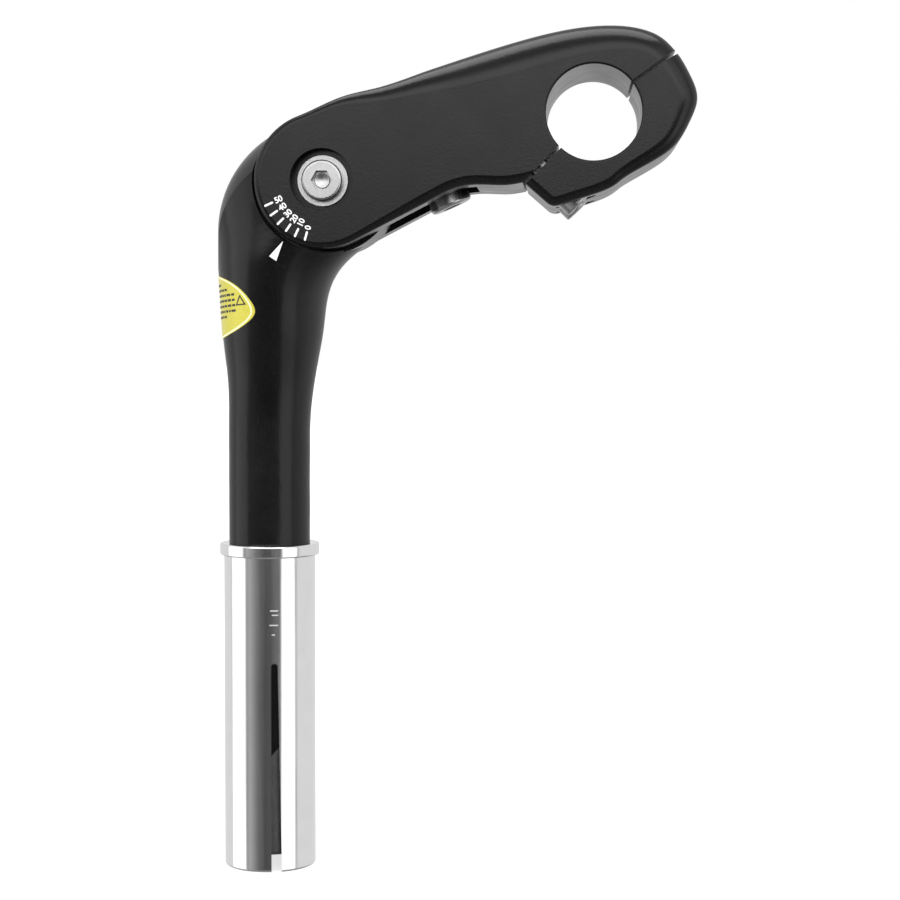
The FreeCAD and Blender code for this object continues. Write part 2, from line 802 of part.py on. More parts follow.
def make_screws():
    """The two faceplate screws as one node, and their washers as another."""
    screws = []
    washers = []
    seat = size("screw_seat")
    under_head = seat + size("screw_washer_h")
    for number, place in enumerate(screw_places()):
        screws.append(socket_screw(
            f"screw_{number}", "screw_d", under_head + size("screw_depth") - 0.5,
            "screw_head_d", "screw_head_h", "screw_hex", "screw_hex_depth",
            moved_up(place, under_head),
        ))
        washers.append(ring(
            f"screw_washer_{number}", "screw_d / 2 + washer_gap", "screw_washer_d / 2",
            "screw_washer_h", moved_up(place, seat),
        ))
    return group("faceplate_screws", screws), group("faceplate_washers", washers)


def group(name, members):
    thing = doc.addObject("Part::Compound", name)
    thing.Links = members
    return thing


# ---------------------------------------------------------------- angle lock

def make_lock_shoe():
    """The toothed shoe, drawn released: slid outward from the tongue by its travel."""
    travel = size("shoe_travel")
    centre = PIVOT + lock_direction(travel, 0)
    root = size("tongue_r") + TOOTH_GAP
    tip = root - size("tooth_depth")
    pitch = size("tooth_pitch")
    half_tooth = TOOTH_ROOT * pitch
    half_tip = TOOTH_TIP * pitch
    outline = []
    for step in range(-SHOE_SIDE_TEETH, SHOE_SIDE_TEETH + 1):
        middle = size("lock_angle") + pitch * step
        outline.append(polar(centre, root, middle - half_tooth))
        outline.append(polar(centre, tip, middle - half_tip))
        outline.append(polar(centre, tip, middle + half_tip))
        outline.append(polar(centre, root, middle + half_tooth))
    half = SHOE_HALF_LENGTH
    slope = size("wedge_slope")
    inner = math.sqrt(root ** 2 - half ** 2) + travel
    back = WEDGE_FACE - FIT
    thickest = size("lock_axis_u") - size("lock_bolt_d") / 2 - SHANK_GAP
    outline.append(in_lock(inner, half))
    outline.append(in_lock(back - slope * half, half))
    outline.append(in_lock(thickest, -(thickest - back) / slope))
    outline.append(in_lock(thickest, -half))
    outline.append(in_lock(inner, -half))
    return plate("lock_shoe", polygon(outline), BLOCK_WIDTH)


def make_lock_wedge():
    """The wedge nut on the lock bolt, drawn at the upper end of its travel."""
    slope = size("wedge_slope")
    corners = [
        in_lock(WEDGE_FACE, 0),
        in_lock(WEDGE_BACK, 0),
        in_lock(WEDGE_BACK, WEDGE_TALL),
        in_lock(WEDGE_FACE - slope * WEDGE_TALL, WEDGE_TALL),
    ]
    block = plate("lock_wedge_block", polygon(corners), BLOCK_WIDTH)
    thread = cylinder(
        "lock_wedge_thread", "lock_bolt_d / 2 + thread_fit", "30",
        along(in_lock(size("lock_axis_u"), -10.0), lock_direction(0, 1)),
    )
    return cut("lock_wedge", block, thread)


def make_lock_bolt():
    seat = along(in_lock(size("lock_axis_u"), size("lock_seat_t")), lock_direction(0, -1))
    washer = ring(
        "lock_washer", "lock_bolt_d / 2 + washer_gap", "lock_washer_d / 2", "lock_washer_h", seat
    )
    length = size("lock_washer_h") - size("lock_seat_t") + 11.0
    bolt = socket_screw(
        "lock_bolt", "lock_bolt_d", length, "lock_head_d", "lock_head_h", "lock_hex",
        "lock_hex_depth", moved_up(seat, size("lock_washer_h")), edge=0.9,
    )
    return washer, bolt


# --------------------------------------------------------------------- label

# The label lies square to the neck, which leans back there.
LABEL_LEAN = 6.0
LABEL_WRAP = 18.0
LABEL_POINTS = 24


def make_safety_label():
    """A thin label, oval when flat, wrapped round the rear of the neck."""
    half_arc = LABEL_WRAP * math.asin(size("label_w") / 2 / LABEL_WRAP)
    half_tall = size("label_tall") / 2
    points = []
    for step in range(LABEL_POINTS):
        turn = 2 * math.pi * step / LABEL_POINTS
        across = LABEL_WRAP * math.sin(half_arc * math.cos(turn) / LABEL_WRAP)
        points.append(FreeCAD.Vector(0, across, half_tall * math.sin(turn)))
    outline = Part.BSplineCurve()
    outline.interpolate(points, PeriodicFlag=True)
    drop = SPARE * math.tan(math.radians(LABEL_LEAN))
    oval = doc.addObject("Part::Feature", "label_oval")
    face = Part.Face(Part.Wire([outline.toShape()]))
    oval.Shape = face.extrude(FreeCAD.Vector(-SPARE, 0, -drop))
    oval.Placement.Base = vector(0, size("label_z"))
    skin = neck_shape("label_skin", size("label_t"))
    patch = common("label_patch", skin, oval)
    return cut("safety_label", patch, neck_shape("label_inside"))


parts = {}
parts["quill_body"] = make_quill_body()
parts["reducing_sleeve"] = make_reducing_sleeve()
(parts["expander_washer"], parts["expander_bolt"], parts["expander_wedge"]) = make_expander()
parts["access_plug"] = make_access_plug()
pivot_names = ("pivot_washer", "pivot_nut_washer", "pivot_bolt", "pivot_nut", "near_bush",
               "far_bush")
parts.update(zip(pivot_names, make_pivot()))
parts["arm"] = make_arm()
parts["faceplate"] = make_faceplate()
parts["faceplate_screws"], parts["faceplate_washers"] = make_screws()
parts["lock_shoe"] = make_lock_shoe()
parts["lock_wedge"] = make_lock_wedge()
parts["lock_washer"], parts["lock_bolt"] = make_lock_bolt()
parts["safety_label"] = make_safety_label()

doc.recompute()
for thing in doc.Objects:
    if "Invalid" in thing.State or "Error" in thing.State:
        raise RuntimeError(f"{thing.Name} failed: {thing.State}")
os.makedirs("parts", exist_ok=True)
for node, thing in parts.items():
    thing.Label = node
    shape = thing.Shape
    if shape.isNull() or not shape.isValid():
        raise RuntimeError(f"{node} has no valid shape")
    shape.exportStep(f"parts/{node}.step")
    print(node, len(shape.Solids), "solid(s)", round(shape.Volume, 1), "mm3")
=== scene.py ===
import math
import random

import bmesh
import bpy
from mathutils import Matrix, Vector
from mathutils.bvhtree import BVHTree


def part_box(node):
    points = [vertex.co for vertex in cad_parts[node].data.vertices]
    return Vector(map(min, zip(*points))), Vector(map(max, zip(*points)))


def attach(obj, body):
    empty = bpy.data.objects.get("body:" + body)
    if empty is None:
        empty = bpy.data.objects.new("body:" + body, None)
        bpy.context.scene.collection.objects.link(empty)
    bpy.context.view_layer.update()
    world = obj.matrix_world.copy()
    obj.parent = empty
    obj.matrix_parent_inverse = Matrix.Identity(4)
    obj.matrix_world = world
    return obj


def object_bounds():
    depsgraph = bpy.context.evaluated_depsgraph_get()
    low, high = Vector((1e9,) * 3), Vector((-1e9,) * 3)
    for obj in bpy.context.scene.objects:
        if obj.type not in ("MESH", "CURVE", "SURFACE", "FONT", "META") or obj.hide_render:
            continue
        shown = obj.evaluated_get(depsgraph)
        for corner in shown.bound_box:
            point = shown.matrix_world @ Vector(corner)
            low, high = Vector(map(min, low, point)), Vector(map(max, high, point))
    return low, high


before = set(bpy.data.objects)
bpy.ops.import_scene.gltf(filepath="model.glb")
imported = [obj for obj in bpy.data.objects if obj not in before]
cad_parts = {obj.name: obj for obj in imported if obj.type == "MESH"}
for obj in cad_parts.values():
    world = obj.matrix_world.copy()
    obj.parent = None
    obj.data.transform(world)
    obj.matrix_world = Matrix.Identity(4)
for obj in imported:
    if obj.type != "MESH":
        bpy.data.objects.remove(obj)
cad_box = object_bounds()
MM = 0.001


# ---------------------------------------------------------------- node helpers
class Nodes:
    """A small builder for one material's or the world's node tree."""

    def __init__(self, tree):
        self.tree = tree
        tree.nodes.clear()

    def add(self, kind, **settings):
        node = self.tree.nodes.new(kind)
        for name, value in settings.items():
            setattr(node, name, value)
        return node

    def put(self, value, socket):
        """Links an output to the socket, or sets the socket to a plain value."""
        if isinstance(value, bpy.types.NodeSocket):
            self.tree.links.new(value, socket)
        else:
            socket.default_value = value

    def math(self, operation, *values):
        node = self.add("ShaderNodeMath", operation=operation)
        for number, value in enumerate(values):
            self.put(value, node.inputs[number])
        return node.outputs[0]

    def noise(self, vector, scale, detail=2.0, roughness=0.5):
        node = self.add("ShaderNodeTexNoise")
        self.put(vector, node.inputs["Vector"])
        self.put(scale, node.inputs["Scale"])
        self.put(detail, node.inputs["Detail"])
        self.put(roughness, node.inputs["Roughness"])
        return node.outputs["Fac"]

    def map_range(self, value, low, high, to_low, to_high):
        node = self.add("ShaderNodeMapRange")
        for number, number_value in enumerate((value, low, high, to_low, to_high)):
            self.put(number_value, node.inputs[number])
        return node.outputs[0]

    def mix(self, factor, first, second):
        node = self.add("ShaderNodeMix", data_type="RGBA")
        self.put(factor, node.inputs[0])
        self.put(first, node.inputs[6])
        self.put(second, node.inputs[7])
        return node.outputs[2]

    def bump(self, height, strength, distance):
        node = self.add("ShaderNodeBump")
        self.put(strength, node.inputs["Strength"])
        self.put(distance, node.inputs["Distance"])
        self.put(height, node.inputs["Height"])
        return node.outputs["Normal"]

    def scaled(self, vector, scale):
        node = self.add("ShaderNodeMapping")
        self.put(vector, node.inputs["Vector"])
        node.inputs["Scale"].default_value = scale
        return node.outputs["Vector"]


def grey(value):
    return (value, value, value, 1.0)


def new_material(name, metallic):
    """A Principled material, its nodes and its object coordinates."""
    material = bpy.data.materials.new(name)
    material.use_nodes = True
    nodes = Nodes(material.node_tree)
    output = nodes.add("ShaderNodeOutputMaterial")
    shader = nodes.add("ShaderNodeBsdfPrincipled")
    nodes.tree.links.new(shader.outputs[0], output.inputs["Surface"])
    shader.inputs["Metallic"].default_value = metallic
    place = nodes.add("ShaderNodeTexCoord").outputs["Object"]
    return material, nodes, shader, place


# Noise scales are in waves per metre, and bump heights in metres.
COAT_SPECKLE, COAT_CLOUD, COAT_PEEL, COAT_PEEL_HEIGHT = 2600.0, 90.0, 1500.0, 0.00006
COAT_DARK, COAT_LIGHT = (0.0018, 0.0018, 0.0020, 1.0), (0.0065, 0.0065, 0.0070, 1.0)
METAL_CLOUD, METAL_LINE_HEIGHT = 160.0, 0.00002
PLAIN_GRAIN_HEIGHT = 0.00003


def coat_material(name):
    """Satin black powder coat: orange peel, a slow change of gloss, faint speckle, and painted shade on the
    rims, where the reflection is turned down towards grazing view.
    """
    material, nodes, shader, place = new_material(name, 0.0)
    speckle = nodes.map_range(nodes.noise(place, COAT_SPECKLE), 0.45, 0.72, 0.0, 1.0)
    cloud = nodes.noise(place, COAT_CLOUD, 3.0)
    peel = nodes.noise(place, COAT_PEEL)
    facing = nodes.add("ShaderNodeLayerWeight").outputs["Facing"]
    nodes.put(nodes.mix(speckle, COAT_DARK, COAT_LIGHT), shader.inputs["Base Color"])
    nodes.put(nodes.map_range(cloud, 0.3, 0.7, 0.19, 0.26), shader.inputs["Roughness"])
    # Painted shade: the reflection weakens as the surface turns away from the view, so the rims stay darker
    # than the light alone would leave them.
    nodes.put(nodes.map_range(facing, 0.40, 0.80, 0.30, 0.06), shader.inputs["Specular IOR Level"])
    nodes.put(nodes.bump(peel, 0.3, COAT_PEEL_HEIGHT), shader.inputs["Normal"])
    return material


def metal_material(name, dark, light, rough_low, rough_high, stretch=(1.0, 1.0, 1.0)):
    """Bare metal whose fine lines follow the stretch, with an uneven gloss."""
    material, nodes, shader, place = new_material(name, 1.0)
    lines = nodes.noise(nodes.scaled(place, stretch), 1200.0, 3.0, 0.6)
    cloud = nodes.noise(place, METAL_CLOUD, 3.0)
    nodes.put(nodes.mix(cloud, dark, light), shader.inputs["Base Color"])
    nodes.put(nodes.map_range(lines, 0.3, 0.7, rough_low, rough_high), shader.inputs["Roughness"])
    nodes.put(nodes.bump(lines, 0.15, METAL_LINE_HEIGHT), shader.inputs["Normal"])
    return material


def plain_material(name, dark, light, rough_low, rough_high):
    """Plastic, rubber, vinyl or ink: a close mottle, and a fine grain in the gloss and the bump."""
    material, nodes, shader, place = new_material(name, 0.0)
    grain = nodes.noise(place, 700.0, 3.0)
    nodes.put(nodes.mix(grain, dark, light), shader.inputs["Base Color"])
    nodes.put(nodes.map_range(grain, 0.3, 0.7, rough_low, rough_high), shader.inputs["Roughness"])
    nodes.put(nodes.bump(grain, 0.2, PLAIN_GRAIN_HEIGHT), shader.inputs["Normal"])
    return material


finishes = {
    "black_coat": coat_material("black_coat_finish"),
    "polished_alloy": metal_material(
        "polished_alloy_finish", grey(0.78), (0.86, 0.86, 0.87, 1.0), 0.10, 0.17, (1.0, 1.0, 0.03)),
    "bright_steel": metal_material("bright_steel_finish", grey(0.40), grey(0.50), 0.24, 0.36),
    "dark_steel": metal_material("dark_steel_finish", grey(0.10), grey(0.17), 0.30, 0.45),
    "lock_steel": metal_material("lock_steel_finish", grey(0.26), grey(0.38), 0.32, 0.48),
    "bush_plastic": plain_material("bush_plastic_finish", grey(0.02), grey(0.05), 0.45, 0.60),
    "plug_rubber": plain_material("plug_rubber_finish", grey(0.010), grey(0.022), 0.55, 0.75),
    "label_vinyl": plain_material(
        "label_vinyl_finish", (0.50, 0.45, 0.040, 1.0), (0.57, 0.52, 0.060, 1.0), 0.22, 0.34),
}
white_ink = plain_material("white_ink", grey(0.72), grey(0.86), 0.40, 0.55)
pale_ink = plain_material("pale_ink", (0.78, 0.76, 0.44, 1.0), (0.84, 0.82, 0.52, 1.0), 0.30, 0.42)
black_ink = plain_material("black_ink", grey(0.008), grey(0.02), 0.35, 0.5)
etch_finish = metal_material("etch_finish", grey(0.80), grey(0.92), 0.35, 0.5)


def assign_finishes():
    """Gives each CAD node's slot the finish of the same name."""
    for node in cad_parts.values():
        for place in node.material_slots:
            slot_name = place.material.name.split(".")[0]
            if slot_name in finishes:
                place.material = finishes[slot_name]


assign_finishes()

# ---------------------------------------------------------------- building printed marks
# INK is how far a printed mark stands proud of its surface and sinks into it.
INK = 0.04 * MM
SHARP_ANGLE = math.radians(35)


def add_piece(name, vertices, faces, material, body, smooth=False):
    """A mesh piece with welded corners and outward faces, riding on a CAD body."""
    mesh = bpy.data.meshes.new(name)
    mesh.from_pydata([tuple(v) for v in vertices], [], faces)
    work = bmesh.new()
    work.from_mesh(mesh)
    bmesh.ops.remove_doubles(work, verts=work.verts, dist=1e-7)
    bmesh.ops.recalc_face_normals(work, faces=work.faces)
    work.to_mesh(mesh)
    work.free()
    mesh.polygons.foreach_set("use_smooth", [smooth] * len(mesh.polygons))
    if smooth:
        mesh.set_sharp_from_angle(angle=SHARP_ANGLE)
    mesh.materials.append(material)
    piece = bpy.data.objects.new(name, mesh)
    bpy.context.scene.collection.objects.link(piece)
    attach(piece, body)
    return piece


def joined(parts):
    """One list of vertices and one of faces from several."""
    vertices, faces = [], []
    for part_vertices, part_faces in parts:
        start = len(vertices)
        vertices.extend(part_vertices)
        faces.extend(tuple(start + i for i in face) for face in part_faces)
    return vertices, faces


def slab(outline, rise):
    """A thin closed slab: the outline lifted by the rise, and sunk by it."""
    count = len(outline)
    vertices = [p + rise for p in outline] + [p - rise for p in outline]
    faces = [tuple(range(count)), tuple(reversed(range(count, 2 * count)))]
    for i in range(count):
        j = (i + 1) % count
        faces.append((i, i + count, j + count, j))
    return vertices, faces


def patch(corners, across, down):
    """Rows of points that fill the four corners (u, v), given in order round the patch."""
    a, b, c, d = (Vector(corner) for corner in corners)
    rows = []
    for i in range(down + 1):
        left, right = a.lerp(d, i / down), b.lerp(c, i / down)
        rows.append([tuple(left.lerp(right, j / across)) for j in range(across + 1)])
    return rows


def bar(left, right, middle, tall):
    """A patch with level ends, one step tall."""
    top, foot = middle + tall / 2, middle - tall / 2
    return patch(((left, top), (right, top), (right, foot), (left, foot)), 4, 1)


def surface_of(node):
    """A ray-casting tree of a CAD node."""
    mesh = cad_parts[node].data
    return BVHTree.FromPolygons([v.co for v in mesh.vertices], [tuple(p.vertices) for p in mesh.polygons])


def draped(tree, grid_rows, ray_at, lift=INK, sink=INK):
    """A thin slab over a surface: rows of (u, v) points, each cast onto the tree by ray_at."""
    top, under = [], []
    for row in grid_rows:
        for u, v in row:
            start, aim = ray_at(u, v)
            hit, normal = tree.ray_cast(start, aim)[:2]
            if hit is None:
                raise RuntimeError("a printed mark missed its surface")
            if normal.dot(aim) > 0:
                normal = -normal
            top.append(hit + normal * lift)
            under.append(hit - normal * sink)
    wide, tall = len(grid_rows[0]), len(grid_rows)
    total = wide * tall
    faces = []
    for r in range(tall - 1):
        for c in range(wide - 1):
            a = r * wide + c
            faces.append((a, a + 1, a + wide + 1, a + wide))
            faces.append((total + a + wide, total + a + wide + 1, total + a + 1, total + a))
    rim = list(range(wide))
    rim += [r * wide + wide - 1 for r in range(1, tall)]
    rim += [(tall - 1) * wide + c for c in range(wide - 2, -1, -1)]
    rim += [r * wide for r in range(tall - 2, 0, -1)]
    for i, a in enumerate(rim):
        b = rim[(i + 1) % len(rim)]
        faces.append((a, total + a, total + b, b))
    return top + under, faces


# ---------------------------------------------------------------- the angle scale and its pointer
# SCALE gives each mark's angle, clockwise from straight ahead, for each printed number.
PIVOT_X, PIVOT_Z = 17.0 * MM, 102.4 * MM
ARM_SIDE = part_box("arm")[0].y
FACING = Vector((0, -1, 0))
SCALE = {0: 105.3, 10: 115.2, 20: 124.8, 30: 134.8, 40: 145.1, 50: 155.3}
TICK_INNER, TICK_OUTER, TICK_HALF, TICK_END_STEPS = 14.15 * MM, 16.75 * MM, 0.28 * MM, 6
NUMERAL_SIZE, NUMERAL_BOLD = 2.25 * MM, 0.055 * MM
SINGLE_RADIUS, DOUBLE_RADIUS = 13.15 * MM, 12.55 * MM
POINTER_TIP = Vector((6.7 * MM, 86.3 * MM))
POINTER_FEET = (Vector((2.8 * MM, 82.2 * MM)), Vector((4.7 * MM, 80.9 * MM)))
POINTER_BLUNT = 0.04


def round_pivot(degrees, radius):
    """A point of the arm's near side, at an angle clockwise from straight ahead."""
    turn = math.radians(degrees)
    return Vector((PIVOT_X + radius * math.cos(turn), ARM_SIDE, PIVOT_Z - radius * math.sin(turn)))


def tick(degrees):
    """A radial bar with round ends."""
    turn = math.radians(degrees)
    radial = Vector((math.cos(turn), 0, -math.sin(turn)))
    across = Vector((math.sin(turn), 0, math.cos(turn)))
    outline = []
    for end, sign in ((TICK_INNER + TICK_HALF, -1), (TICK_OUTER - TICK_HALF, 1)):
        for step in range(TICK_END_STEPS + 1):
            lean = math.pi * (step / TICK_END_STEPS - 0.5)
            offset = (radial * math.cos(lean) + across * math.sin(lean)) * sign
            outline.append(round_pivot(degrees, end) + offset * TICK_HALF)
    return slab(outline, FACING * INK)


def numeral(number, degrees):
    """A printed number, read outward from the pivot."""
    curve = bpy.data.curves.new("numeral", "FONT")
    curve.body = str(number)
    curve.size = NUMERAL_SIZE
    curve.align_x = "CENTER"
    curve.align_y = "CENTER"
    curve.space_character = 0.95
    curve.extrude = INK
    curve.offset = NUMERAL_BOLD
    curve.resolution_u = 4
    maker = bpy.data.objects.new("numeral", curve)
    bpy.context.scene.collection.objects.link(maker)
    bpy.context.view_layer.update()
    drawn = bpy.data.meshes.new_from_object(maker.evaluated_get(bpy.context.evaluated_depsgraph_get()))
    bpy.data.objects.remove(maker)
    radius = SINGLE_RADIUS if number == 0 else DOUBLE_RADIUS
    turn = math.radians(degrees)
    inward = math.atan2(math.sin(turn), -math.cos(turn))
    place = (Matrix.Translation(round_pivot(degrees, radius)) @ Matrix.Rotation(-inward, 4, "Y")
             @ Matrix.Rotation(math.radians(90), 4, "X"))
    return [place @ v.co for v in drawn.vertices], [tuple(p.vertices) for p in drawn.polygons]


def add_scale():
    ticks = [tick(degrees) for degrees in SCALE.values()]
    add_piece("angle_ticks", *joined(ticks), white_ink, "arm")
    numerals = [numeral(number, degrees) for number, degrees in SCALE.items()]
    add_piece("angle_numerals", *joined(numerals), white_ink, "arm")


def from_near_side(x, z):
    return Vector((x, -0.1, z)), Vector((0, 1, 0))


def add_pointer():
    """The pointer of the angle scale, on the near side of the quill's shoulder."""
    left, right = POINTER_FEET
    corners = (POINTER_TIP.lerp(left, POINTER_BLUNT), POINTER_TIP.lerp(right, POINTER_BLUNT), right, left)
    print_on_quill = draped(surface_of("quill_body"), patch(corners, 6, 12), from_near_side)
    add_piece("scale_pointer", *print_on_quill, white_ink, "quill")


# ---------------------------------------------------------------- the label's print
# The label is an oval wrapped round the neck's rear, rising forward with LABEL_LEAN.
LABEL_Z, LABEL_LEAN = 70.0 * MM, math.tan(math.radians(6.0))
LABEL_HALF, LABEL_WRAP, LABEL_HALF_TALL = 17.3 * MM, 18.0 * MM, 8.85 * MM
LABEL_AXIS, NECK_RADIUS = 2.0 * MM, 13.5 * MM
BORDER, BORDER_STEPS, BORDER_INSIDE = 0.5 * MM, 160, 0.99
ROW_STEP, ROW_TALL, ROWS_RAISED = 1.45 * MM, 0.62 * MM, 1.2 * MM
ROW_SHARES = (0.55, 0.8, 1.0, 1.0, 1.0, 1.0, 0.72)
MIDDLE_ROW = 3
DASH_SHORTEST, DASH_LONGEST, DASH_LEAST, DASH_GAP = 2.5, 8.0, 1.5, 1.6
ROW_CLEARANCE, TRIANGLE_CLEARANCE = 17.4, 10.5
TRIANGLE_OUTER, TRIANGLE_INNER, TRIANGLE_RAISED = 1.9 * MM, 1.2 * MM, 0.5 * MM
DEGREES_PER_M = math.degrees(1 / (15.6 * MM))
label_surface = surface_of("safety_label")
near_end = min((v.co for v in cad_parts["safety_label"].data.vertices), key=lambda p: p.y)
NEAR_END = math.degrees(math.atan2(-near_end.y, LABEL_AXIS - near_end.x))


def round_neck(degrees, z):
    """The start and the aim of a ray onto the label, at an angle from the rear towards the far side."""
    turn = math.radians(degrees)
    out = Vector((-math.cos(turn), math.sin(turn), 0))
    rise = LABEL_LEAN * (LABEL_AXIS - NECK_RADIUS * math.cos(turn))
    return Vector((LABEL_AXIS, 0, z + rise)) + out * 0.1, -out


def label_edge(turn):
    """A point just inside the label's outline, and the surface's normal there."""
    half_arc = LABEL_WRAP * math.asin(LABEL_HALF / LABEL_WRAP) * BORDER_INSIDE
    across = LABEL_WRAP * math.sin(half_arc * math.cos(turn) / LABEL_WRAP)
    ahead = Vector((1, 0, LABEL_LEAN))
    up = LABEL_HALF_TALL * BORDER_INSIDE * math.sin(turn)
    start = Vector((0, across, LABEL_Z + up)) - ahead * 0.1
    hit, normal = label_surface.ray_cast(start, ahead.normalized())[:2]
    if hit is None:
        raise RuntimeError("the border missed the label")
    return hit, -normal if normal.x > 0 else normal


def add_label_border():
    """A pale line round the label, just inside its edge."""
    outer_line = [label_edge(2 * math.pi * i / BORDER_STEPS) for i in range(BORDER_STEPS)]
    label_centre = Vector((LABEL_AXIS - 20.0 * MM, 0, LABEL_Z))
    vertices, faces = [], []
    for i, (spot, normal) in enumerate(outer_line):
        ahead = outer_line[(i + 1) % BORDER_STEPS][0] - outer_line[i - 1][0]
        inward = ahead.normalized().cross(normal).normalized()
        if inward.dot(label_centre - spot) < 0:
            inward = -inward
        inner, inner_normal = label_surface.find_nearest(spot + inward * BORDER)[:2]
        if inner_normal.dot(normal) <= 0:
            inner_normal = -inner_normal
        vertices += [spot + normal * INK, inner + inner_normal * INK,
                     inner - inner_normal * INK, spot - normal * INK]
    for i in range(BORDER_STEPS):
        a, b = 4 * i, 4 * ((i + 1) % BORDER_STEPS)
        for k in range(4):
            m = (k + 1) % 4
            faces.append((a + k, a + m, b + m, b + k))
    border = add_piece("label_border", vertices, faces, pale_ink, "quill")


def add_label_rows():
    """Rows of plain dashes of random length, in place of words."""
    dashes = []
    chance = random.Random(7)
    for row, share in enumerate(ROW_SHARES):
        span = (NEAR_END - ROW_CLEARANCE) * share
        z = LABEL_Z + ROWS_RAISED + (MIDDLE_ROW - row) * ROW_STEP
        at = -span
        while at < span:
            end = min(at + chance.uniform(DASH_SHORTEST, DASH_LONGEST), span)
            if end - at > DASH_LEAST:
                dashes.append(draped(label_surface, bar(at, end, z, ROW_TALL), round_neck))
            at = end + DASH_GAP
    rows = add_piece("label_rows", *joined(dashes), black_ink, "quill")


def add_label_triangle():
    """A plain triangle near the label's near end."""
    points = [Vector((math.sin(t), math.cos(t))) for t in (0, 2 * math.pi / 3, 4 * math.pi / 3)]
    radii = (TRIANGLE_OUTER, TRIANGLE_OUTER, TRIANGLE_INNER, TRIANGLE_INNER)
    sides = []
    for i in range(3):
        a, b = points[i], points[(i + 1) % 3]
        corners = []
        for point, radius in zip((a, b, b, a), radii):
            corners.append((TRIANGLE_CLEARANCE - NEAR_END + point.x * radius * DEGREES_PER_M,
                            LABEL_Z + TRIANGLE_RAISED + point.y * radius))
        sides.append(draped(label_surface, patch(corners, 5, 1), round_neck))
    sign = add_piece("label_triangle", *joined(sides), black_ink, "quill")


# ---------------------------------------------------------------- the pivot's pin and the sleeve's bars
# PIN_PROFILE is (radius, height) in mm; ETCHED_BARS is (height in mm, first angle, last angle).
PIN_BASE_Y = -18.8 * MM
PIN_PROFILE = ((0.0, -0.1), (2.1, -0.1), (2.1, 0.55), (1.95, 0.72), (1.7, 0.72), (1.6, 0.66), (0.0, 0.66))
PIN_AROUND = 48
ETCHED_BARS = ((-14.4, 8.0, 18.0), (-15.6, 10.0, 18.0), (-18.4, 7.0, 18.0), (-21.0, 10.0, 14.0))
ETCHED_TALL, ETCHED_LIFT, ETCHED_SINK = 0.34 * MM, 0.015 * MM, 0.05 * MM


def turned(profile, place):
    """A solid of revolution about a placement's Z axis, with its ends on the axis."""
    vertices, faces = [], []
    for radius, height in profile:
        for i in range(PIN_AROUND):
            t = 2 * math.pi * i / PIN_AROUND
            vertices.append(place @ (Vector((radius * math.cos(t), radius * math.sin(t), height)) * MM))
    for r in range(len(profile) - 1):
        for i in range(PIN_AROUND):
            j = (i + 1) % PIN_AROUND
            lower, upper = r * PIN_AROUND, (r + 1) * PIN_AROUND
            faces.append((lower + i, lower + j, upper + j, upper + i))
    return vertices, faces


def add_socket_pin():
    """The pressed round floor inside the pivot bolt's socket."""
    place = Matrix.Translation((PIVOT_X, PIN_BASE_Y, PIVOT_Z)) @ Matrix.Rotation(math.radians(90), 4, "X")
    vertices, faces = turned(PIN_PROFILE, place)
    pin = add_piece("pivot_socket_pin", vertices, faces, finishes["bright_steel"], "arm", smooth=True)


def round_sleeve(degrees, z):
    """The start and the aim of a ray onto the sleeve, at an angle from its near side."""
    turn = math.radians(degrees)
    out = Vector((math.sin(turn), -math.cos(turn), 0))
    return Vector((0, 0, z)) + out * 0.05, -out


def add_sleeve_etching():
    """Short etched bars on the sleeve."""
    sleeve_surface = surface_of("reducing_sleeve")
    etched = [
        draped(sleeve_surface, bar(first, last, z * MM, ETCHED_TALL), round_sleeve, ETCHED_LIFT, ETCHED_SINK)
        for z, first, last in ETCHED_BARS
    ]
    etch = add_piece("sleeve_etching", *joined(etched), etch_finish, "quill")


add_scale()
add_pointer()
add_label_border()
add_label_rows()
add_label_triangle()
add_socket_pin()
add_sleeve_etching()

# ---------------------------------------------------------------- camera, floor and light
CAMERA_PLACE = (82.1 * MM, -600.0 * MM, 63.0 * MM)
YAW, PITCH, ROLL = math.radians(-3.03), math.radians(-3.21), math.radians(0.11)
FOCAL_LENGTH_MM, SENSOR_MM = 86.8, 36.0
FLOOR_HALF, FLOOR_GAP = 8.0, 0.1 * MM
FLOOR_GREY, FLOOR_GLOW = 0.55, 0.72
SOFTBOX_PLACE, SOFTBOX_TARGET = Vector((0.05, 0.05, 0.95)), Vector((0.03, 0, 0.05))
SOFTBOX_WIDTH, SOFTBOX_DEPTH, SOFTBOX_WATTS = 0.9, 0.6, 6.0


def add_camera():
    data = bpy.data.cameras.new("camera")
    data.lens = FOCAL_LENGTH_MM
    data.sensor_width = SENSOR_MM
    data.clip_start = 0.01
    data.clip_end = 50.0
    camera = bpy.data.objects.new("camera", data)
    bpy.context.scene.collection.objects.link(camera)
    camera.matrix_world = (
        Matrix.Translation(CAMERA_PLACE)
        @ Matrix.Rotation(-YAW, 4, "Z")
        @ Matrix.Rotation(math.radians(90.0) + PITCH, 4, "X")
        @ Matrix.Rotation(ROLL, 4, "Z")
    )
    bpy.context.scene.camera = camera


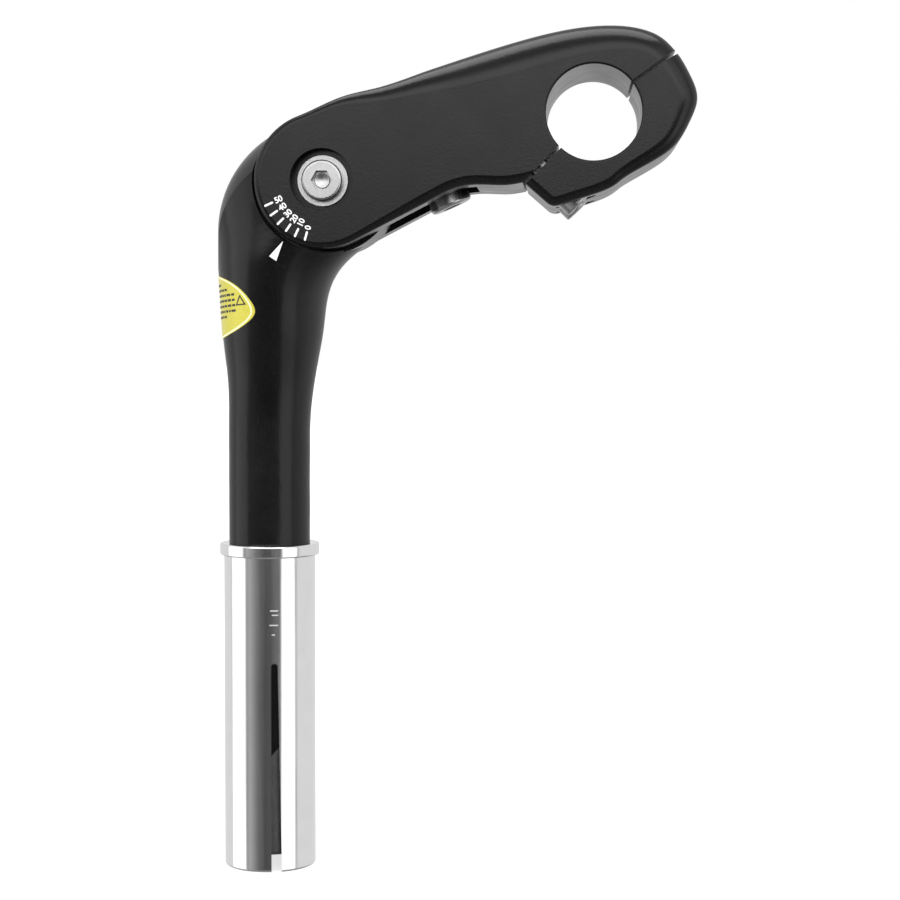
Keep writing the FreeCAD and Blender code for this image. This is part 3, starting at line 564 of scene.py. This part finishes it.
def add_floor():
    """A wide pale floor that glows a little, so that it stays white, just under the object."""
    material = bpy.data.materials.new("floor")
    material.use_nodes = True
    nodes = Nodes(material.node_tree)
    output = nodes.add("ShaderNodeOutputMaterial")
    shader = nodes.add("ShaderNodeBsdfPrincipled")
    nodes.tree.links.new(shader.outputs[0], output.inputs["Surface"])
    shader.inputs["Base Color"].default_value = grey(FLOOR_GREY)
    shader.inputs["Roughness"].default_value = 0.9
    shader.inputs["Specular IOR Level"].default_value = 0.0
    shader.inputs["Emission Color"].default_value = grey(1.0)
    shader.inputs["Emission Strength"].default_value = FLOOR_GLOW
    mesh = bpy.data.meshes.new("floor")
    corners = ((-1, -1), (1, -1), (1, 1), (-1, 1))
    height = cad_box[0].z - FLOOR_GAP
    mesh.from_pydata([(x * FLOOR_HALF, y * FLOOR_HALF, height) for x, y in corners], [], [(0, 1, 2, 3)])
    mesh.materials.append(material)
    floor = bpy.data.objects.new("floor", mesh)
    bpy.context.scene.collection.objects.link(floor)
    floor.visible_glossy = False


def add_top_softbox():
    data = bpy.data.lights.new("top_softbox", "AREA")
    data.shape = "RECTANGLE"
    data.size = SOFTBOX_WIDTH
    data.size_y = SOFTBOX_DEPTH
    data.energy = SOFTBOX_WATTS
    light = bpy.data.objects.new("top_softbox", data)
    bpy.context.scene.collection.objects.link(light)
    light.location = SOFTBOX_PLACE
    light.rotation_mode = "QUATERNION"
    light.rotation_quaternion = (SOFTBOX_TARGET - SOFTBOX_PLACE).to_track_quat("-Z", "Y")


add_camera()
bpy.context.scene.view_settings.view_transform = "Standard"
add_floor()
add_top_softbox()

# ---------------------------------------------------------------- the studio round the object
# Each pair is an angle from the camera's side, positive to the right, and a brightness.
STUDIO = (
    (-180, 0.80), (-106, 0.80), (-104, 0.35), (-102, 1.50), (-58, 1.50), (-56, 0.25), (-46, 0.45),
    (-24, 0.16), (-6, 0.07), (8, 0.08), (22, 0.15), (36, 0.16), (38, 1.50), (72, 1.50), (74, 0.45),
    (78, 0.45), (80, 0.80), (180, 0.80),
)
STUDIO_PEAK = 1.5
OVERHEAD, UNDERFOOT, FRONT_TOP = 0.7, 0.30, 2.7


def studio_ring(sky, angle):
    """The brightness round the horizon, read from STUDIO by angle."""
    ramp_node = sky.add("ShaderNodeValToRGB")
    ramp = ramp_node.color_ramp
    while len(ramp.elements) > 1:
        ramp.elements.remove(ramp.elements[-1])
    for index, (degrees, level) in enumerate(STUDIO):
        spot = (degrees + 180.0) / 360.0
        element = ramp.elements[0] if index == 0 else ramp.elements.new(spot)
        element.position = spot
        element.color = grey(level / STUDIO_PEAK)
    sky.put(sky.map_range(angle, -math.pi, math.pi, 0.0, 1.0), ramp_node.inputs[0])
    return sky.math("MULTIPLY", ramp_node.outputs[0], STUDIO_PEAK)


def blended(sky, factor, low, high):
    """low + (high - low) * factor, for the world's brightness."""
    return sky.math("MULTIPLY_ADD", sky.math("SUBTRACT", high, low), factor, low)


def add_studio():
    """The surroundings that light the object; the camera itself sees plain white."""
    world = bpy.data.worlds.new("studio")
    bpy.context.scene.world = world
    world.use_nodes = True
    sky = Nodes(world.node_tree)
    output = sky.add("ShaderNodeOutputWorld")
    direction = sky.add("ShaderNodeSeparateXYZ")
    sky.tree.links.new(sky.add("ShaderNodeTexCoord").outputs["Generated"], direction.inputs[0])
    x, y, z = direction.outputs
    towards_camera = sky.math("MULTIPLY", y, -1.0)
    frontness = sky.map_range(towards_camera, 0.5, 0.9, 0.0, 1.0)
    raised = sky.map_range(z, 0.02, 0.09, 0.0, 1.0)
    level = studio_ring(sky, sky.math("ARCTAN2", x, towards_camera))
    level = blended(sky, sky.math("MULTIPLY", frontness, raised), level, FRONT_TOP)
    level = blended(sky, sky.map_range(z, 0.55, 0.85, 0.0, 1.0), level, OVERHEAD)
    level = blended(sky, sky.map_range(z, -0.30, -0.70, 0.0, 1.0), level, UNDERFOOT)
    seen = sky.add("ShaderNodeBackground")
    lit = sky.add("ShaderNodeBackground")
    for background in (seen, lit):
        background.inputs["Color"].default_value = grey(1.0)
    sky.put(level, lit.inputs["Strength"])
    chooser = sky.add("ShaderNodeMixShader")
    sky.tree.links.new(sky.add("ShaderNodeLightPath").outputs["Is Camera Ray"], chooser.inputs[0])
    sky.tree.links.new(lit.outputs[0], chooser.inputs[1])
    sky.tree.links.new(seen.outputs[0], chooser.inputs[2])
    sky.tree.links.new(chooser.outputs[0], output.inputs["Surface"])


add_studio()
